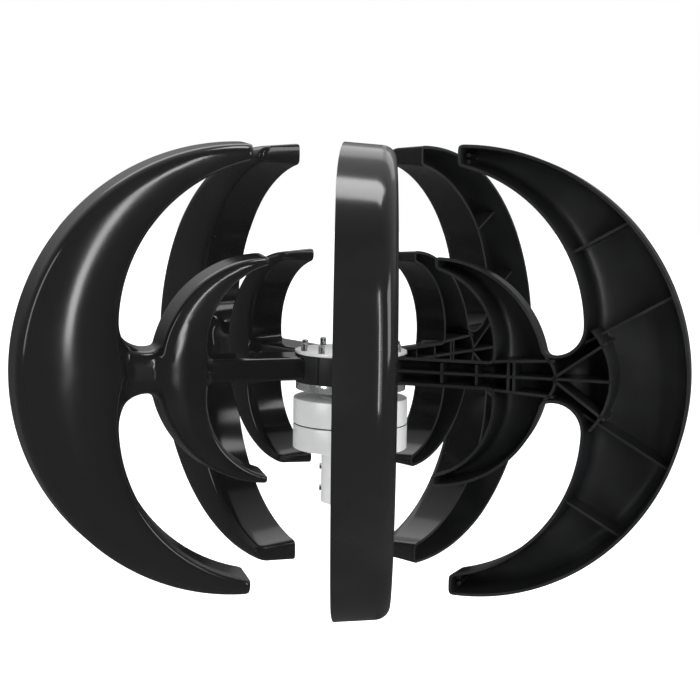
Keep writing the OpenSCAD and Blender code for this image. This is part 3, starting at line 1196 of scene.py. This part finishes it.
    def placed(self, blade: bpy.types.Object, index: int) -> bpy.types.Object:
        """Copies the blade to one of its five places.

        Args:
            blade: the blade in blade coordinates.
            index: which place, from 0 at the front, going round by the left.

        Returns:
            The copy, with its place in its mesh.
        """
        name = f"blade_shell_{index + 1}"
        turn = math.radians(72.0 * index)
        out = Vector((-math.sin(turn), -math.cos(turn), 0.0))
        face = Vector((math.cos(turn), -math.sin(turn), 0.0))
        copy = Bench.stand(name, blade.data.copy())
        copy.data.name = name
        count = len(copy.data.vertices)
        local = np.empty(count * 3, np.float32)
        copy.data.vertices.foreach_get("co", local)
        local = local.reshape(-1, 3)
        world = local[:, :1] * np.array(out) + local[:, 2:] * np.array(face)
        world[:, 2] += local[:, 1] + self.hub_height * MM
        copy.data.vertices.foreach_set("co", world.astype(np.float32).ravel())
        copy.data.flip_normals()
        copy.data.update()
        return copy


# --------------------------------------------------------------------------
# Hub, generator and pole socket
# --------------------------------------------------------------------------


def around(radius: float, turn: float) -> Point:
    """The place at a radius and a direction in radians."""
    return radius * math.cos(turn), radius * math.sin(turn)


def span(node: str) -> tuple[float, float, float]:
    """Radius, lowest and highest point of a round CAD node in millimetres."""
    low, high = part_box(node)
    return max(high.x, high.y) / MM, low.z / MM, high.z / MM


@dataclass
class Hub:
    """The polished plate and flange that clamp the blades, with their studs."""

    finishes: Finishes
    stud_ring: float = 43.5
    stud_count: int = 10
    thread_pitch: float = 1.0

    def build(self) -> None:
        """Builds plate, flange and studs."""
        radius, low, high = span("top_clamp_plate")
        plate = Bench.lathe("clamp_plate", [(0, low), (radius, low), (radius, high), (0, high)], 0.35)
        Bench.coat(plate, self.finishes.plate)
        self.finishes.hand_over(plate, "rotor", Slot.POLISHED, "top_clamp_plate")
        radius, low, high = span("drive_flange")
        lip = high - 7.0
        profile = [
            (8.6, low), (12, low), (12, lip - 1.5), (13.5, lip), (radius, lip), (radius, high), (8.6, high),
        ]
        flange = Bench.lathe("drive_flange_turned", profile, 0.4)
        self.finishes.hand_over(flange, "rotor", Slot.POLISHED, "drive_flange")
        self.studs()

    def studs(self) -> None:
        """Turns one threaded stud and sets a copy in each hole."""
        _, low, high = span("hub_studs")
        crest, valley = 2.97, 2.5
        top = high - 0.9
        profile = [(0.0, low), (valley, low)]
        level = low + 0.5
        while level < top:
            profile += [(crest, level), (crest, level + 0.12), (valley, level + self.thread_pitch / 2)]
            level += self.thread_pitch
        profile += [(crest, top), (2.1, high), (0.0, high)]
        first = Bench.lathe("stud", profile, rounding=0.0, steps=36)
        made = []
        for number in range(self.stud_count):
            turn = math.radians(18.0 + number * 360.0 / self.stud_count)
            stud = Bench.stand("stud", first.data.copy())
            stud.location = (*around(self.stud_ring * MM, turn), 0.0)
            Bench.settle(stud)
            made.append(stud)
        bpy.data.objects.remove(first)
        studs = Bench.join(made, "hub_stud_set")
        self.finishes.hand_over(studs, "rotor", Slot.STUD, "hub_studs")


@dataclass
class Generator:
    """The two turned halves of the generator's housing."""

    finishes: Finishes
    cavity: float = 44.0
    ledge: float = 41.5

    def build(self) -> None:
        """Builds both halves."""
        radius, low, high = span("upper_housing")
        top = high - 0.8
        profile = [
            (self.cavity, low), (radius, low), (radius, top), (27.5, top), (26.5, high), (17.0, high),
            (17.0, top - 3), (20.03, top - 3), (20.03, top - 16), (23.4, top - 16),
            (23.4, top - 5), (self.ledge, top - 5), (self.ledge, low + 12), (self.cavity, low + 12),
        ]
        upper = Bench.lathe("housing_cover", profile, 1.0, steps=160)
        self.finishes.hand_over(upper, "stator", Slot.HOUSING, "upper_housing")
        radius, low, high = span("lower_housing")
        profile = [
            (5.0, low), (radius, low), (radius, high), (self.cavity, high), (self.cavity, high - 7.2),
            (self.ledge, high - 7.2), (self.ledge, low + 5), (20.0, low + 5), (20.0, low + 17.9),
            (16.03, low + 17.9), (16.03, low + 8.5), (5.0, low + 8.5),
        ]
        lower = Bench.lathe("housing_base", profile, 1.0, steps=160)
        self.finishes.hand_over(lower, "stator", Slot.HOUSING, "lower_housing")


@dataclass
class PoleSocket:
    """The sleeve that takes the pole, and the screws that clamp it."""

    finishes: Finishes
    bore: float = 21.5
    screw_turns: tuple[float, ...] = (180.0, 300.0, 60.0)
    screw_levels: tuple[float, ...] = (12.0, 31.5)
    screw_ring: float = 14.0

    def build(self) -> None:
        """Builds the sleeve and its clamping screws."""
        radius, low, high = span("pole_sleeve")
        end = high - 5.0
        profile = [
            (self.bore + 0.6, low), (radius, low), (radius, high), (5.0, high), (5.0, end + 1.7),
            (7.3, end + 1.7), (7.3, end), (self.bore, end), (self.bore, low + 0.8),
        ]
        sleeve = Bench.lathe("socket_sleeve", profile, 0.35)
        for number in range(4):
            self.countersink(sleeve, math.radians(45.0 + 90.0 * number), end, high)
        Bench.smooth(sleeve)
        self.finishes.hand_over(sleeve, "stator", Slot.HOUSING, "pole_sleeve")
        self.screws(radius)

    def screws(self, radius: float) -> None:
        """Models one socket set screw and sets a copy at each place.

        Args:
            radius: the sleeve's outer radius.
        """
        made = []
        inner, outer = self.bore + 0.2, radius + 1.7
        for level in self.screw_levels:
            for degrees in self.screw_turns:
                made.append(self.screw(inner, outer, level, math.radians(degrees)))
        screws = Bench.join(made, "clamp_screw_set")
        self.finishes.hand_over(screws, "stator", Slot.STUD, "set_screws")

    def countersink(self, sleeve: bpy.types.Object, turn: float, low: float, high: float) -> None:
        """Cuts one countersunk hole in the wall that closes the socket.

        Args:
            sleeve: the sleeve.
            turn: the hole's direction in radians.
            low: the wall's lower face.
            high: the wall's upper face.
        """
        profile = [
            (0.0, low - 1), (5.0, low - 1), (5.0, low + 0.35),
            (2.7, low + 2.65), (2.7, high + 1), (0.0, high + 1),
        ]
        drill = Bench.lathe("drill", profile, rounding=0.0, steps=40, at=around(self.screw_ring, turn))
        cut = sleeve.modifiers.new("hole", "BOOLEAN")
        cut.operation = "DIFFERENCE"
        cut.solver = "EXACT"
        cut.object = drill
        Bench.apply(sleeve)
        bpy.data.objects.remove(drill)

    @staticmethod
    def screw(inner: float, outer: float, level: float, turn: float) -> bpy.types.Object:
        """One socket set screw.

        Args:
            inner: radius of its inner end.
            outer: radius of its outer end.
            level: its height.
            turn: its direction in radians.

        Returns:
            The screw in its place.
        """
        length = outer - inner
        Bench.clear()
        bpy.ops.mesh.primitive_cylinder_add(vertices=36, radius=2.96 * MM, depth=length * MM)
        screw = Bench.active()
        with Bench.editing(screw, everything=False):
            bpy.ops.mesh.select_all(action="DESELECT")
        for face in screw.data.polygons:
            face.select = face.normal.z > 0.9
        with Bench.editing(screw, everything=False):
            bpy.ops.mesh.inset(thickness=0.4 * MM)
            bpy.ops.mesh.inset(thickness=0.9 * MM)
            bpy.ops.mesh.extrude_region_move(TRANSFORM_OT_translate={"value": (0, 0, -2.2 * MM)})
        for vertex in screw.data.vertices:
            away = math.hypot(vertex.co.x, vertex.co.y)
            if away > 2.9 * MM and vertex.co.z > 0:
                vertex.co.x *= 0.9
                vertex.co.y *= 0.9
        screw.rotation_euler = (0.0, math.pi / 2, turn)
        middle = (inner + outer) / 2 * MM
        screw.location = (*around(middle, turn), level * MM)
        Bench.settle(screw)
        Bench.smooth(screw)
        return screw


# --------------------------------------------------------------------------
# Studio
# --------------------------------------------------------------------------


@dataclass(frozen=True)
class Softbox:
    """One soft light, aimed at the turbine."""

    name: str
    at: tuple[float, float, float]
    size: tuple[float, float]
    power: float
    aim: tuple[float, float, float] = (0.0, 0.0, 0.12)

    def hang(self) -> None:
        """Adds the light."""
        data = bpy.data.lights.new(self.name, "AREA")
        data.shape = "RECTANGLE"
        data.size, data.size_y = self.size
        data.energy = self.power
        lamp = Bench.stand(self.name, data)
        lamp.location = self.at
        turn = Vector(self.aim) - Vector(self.at)
        lamp.rotation_euler = turn.to_track_quat("-Z", "Y").to_euler()


@dataclass
class Studio:
    """Floor, lights, surroundings and camera."""

    floor_level: float = -0.36
    camera_back: float = 1.444
    camera_up: float = 0.2999
    camera_down: float = math.radians(6.45)
    camera_left: float = 0.0012
    camera_roll: float = 0.0149
    focal: float = 83.8
    softboxes: tuple[Softbox, ...] = field(
        default_factory=lambda: (
            Softbox("key_strip", (0.72, -2.08, 1.12), (0.14, 2.44), 19.0, (0.0, 0.0, 1.12)),
            Softbox("overhead_box", (0.17, 0.4, 2.05), (0.6, 0.5), 7.5),
            Softbox("top_sheet", (0.0, 1.6, 1.35), (2.4, 0.7), 5.0),
            Softbox("right_fill", (2.3, -1.0, 1.2), (0.9, 1.4), 22.0),
            Softbox("left_fill", (-2.3, -1.5, 0.9), (0.5, 1.6), 12.0),
        )
    )

    def build(self) -> None:
        """Sets the studio up."""
        self.camera()
        self.surroundings()
        self.floor()
        for box in self.softboxes:
            box.hang()
        bpy.context.scene.view_settings.view_transform = "Standard"

    def camera(self) -> None:
        """Adds the camera."""
        data = bpy.data.cameras.new("view")
        data.lens = self.focal
        data.sensor_width = 36.0
        data.clip_end = 50.0
        view = Bench.stand("view", data)
        view.location = (0.0008, -self.camera_back, self.camera_up)
        aim = Euler((math.pi / 2 - self.camera_down, 0.0, self.camera_left)).to_matrix()
        view.rotation_euler = (aim @ Matrix.Rotation(self.camera_roll, 3, "Z")).to_euler()
        bpy.context.scene.camera = view

    def surroundings(self) -> None:
        """White for the eye, an even sky for matt surfaces and a dim room for glossy ones."""
        world = bpy.data.worlds.new("studio")
        bpy.context.scene.world = world
        world.use_nodes = True
        g = Graph.on(world.node_tree)
        _, y, z = g.axes(g.add("ShaderNodeTexCoord", output="Generated"))
        wall = z.step(0.0, 0.48) * y.step(-0.3, 0.5)
        shiny = g.add("ShaderNodeLightPath", output="Is Glossy Ray")
        seen = g.add("ShaderNodeLightPath", output="Is Camera Ray")
        room = (wall * 0.5 + 0.07) * shiny + (1.0 - shiny) * 0.7
        light = room * (1.0 - seen) + seen
        sky = g.add("ShaderNodeBackground", sockets={"Color": (1.0, 1.0, 1.0, 1.0), "Strength": light})
        end = g.tree.nodes.new("ShaderNodeOutputWorld")
        g.tree.links.new(sky.socket, end.inputs["Surface"])

    def floor(self) -> None:
        """Lays the plain pale floor."""
        Bench.clear()
        bpy.ops.mesh.primitive_plane_add(size=30.0, location=(0, 0, self.floor_level))
        floor = Bench.active()
        floor.name = "studio_floor"
        Bench.settle(floor)
        floor.visible_glossy = False
        g = Graph("floor_white")
        grain = g.noise(g.place(), 60.0, 2.0)
        white = g.surface(
            {
                "Base Color": g.tint(grain, (0.9, 0.9, 0.9), (0.93, 0.93, 0.93)),
                "Roughness": 0.8,
                "Emission Color": (1.0, 1.0, 1.0, 1.0),
                "Emission Strength": 0.75,
            }
        )
        Bench.coat(floor, white)


def main() -> None:
    """Builds the turbine and its studio in order."""
    logging.basicConfig(level=logging.INFO, format="%(message)s")
    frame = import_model()
    Studio().build()
    finishes = Finishes()
    slots = {s["node"]: s["material_slot"] for s in frame["record"]["subparts"]}
    finishes.dress_nodes(frame["nodes"], slots)
    low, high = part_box("blade_1")
    blade = CrescentBlade(BladeForm(), (low.z + high.z) / 2 / MM)
    master = blade.build(finishes.gloss, finishes.satin)
    for index in range(5):
        copy = blade.placed(master, index)
        finishes.hand_over(copy, "rotor", Slot.BLADE, f"blade_{index + 1}")
    bpy.data.objects.remove(master)
    Hub(finishes).build()
    Generator(finishes).build()
    PoleSocket(finishes).build()


if __name__ == "__main__":
    main()
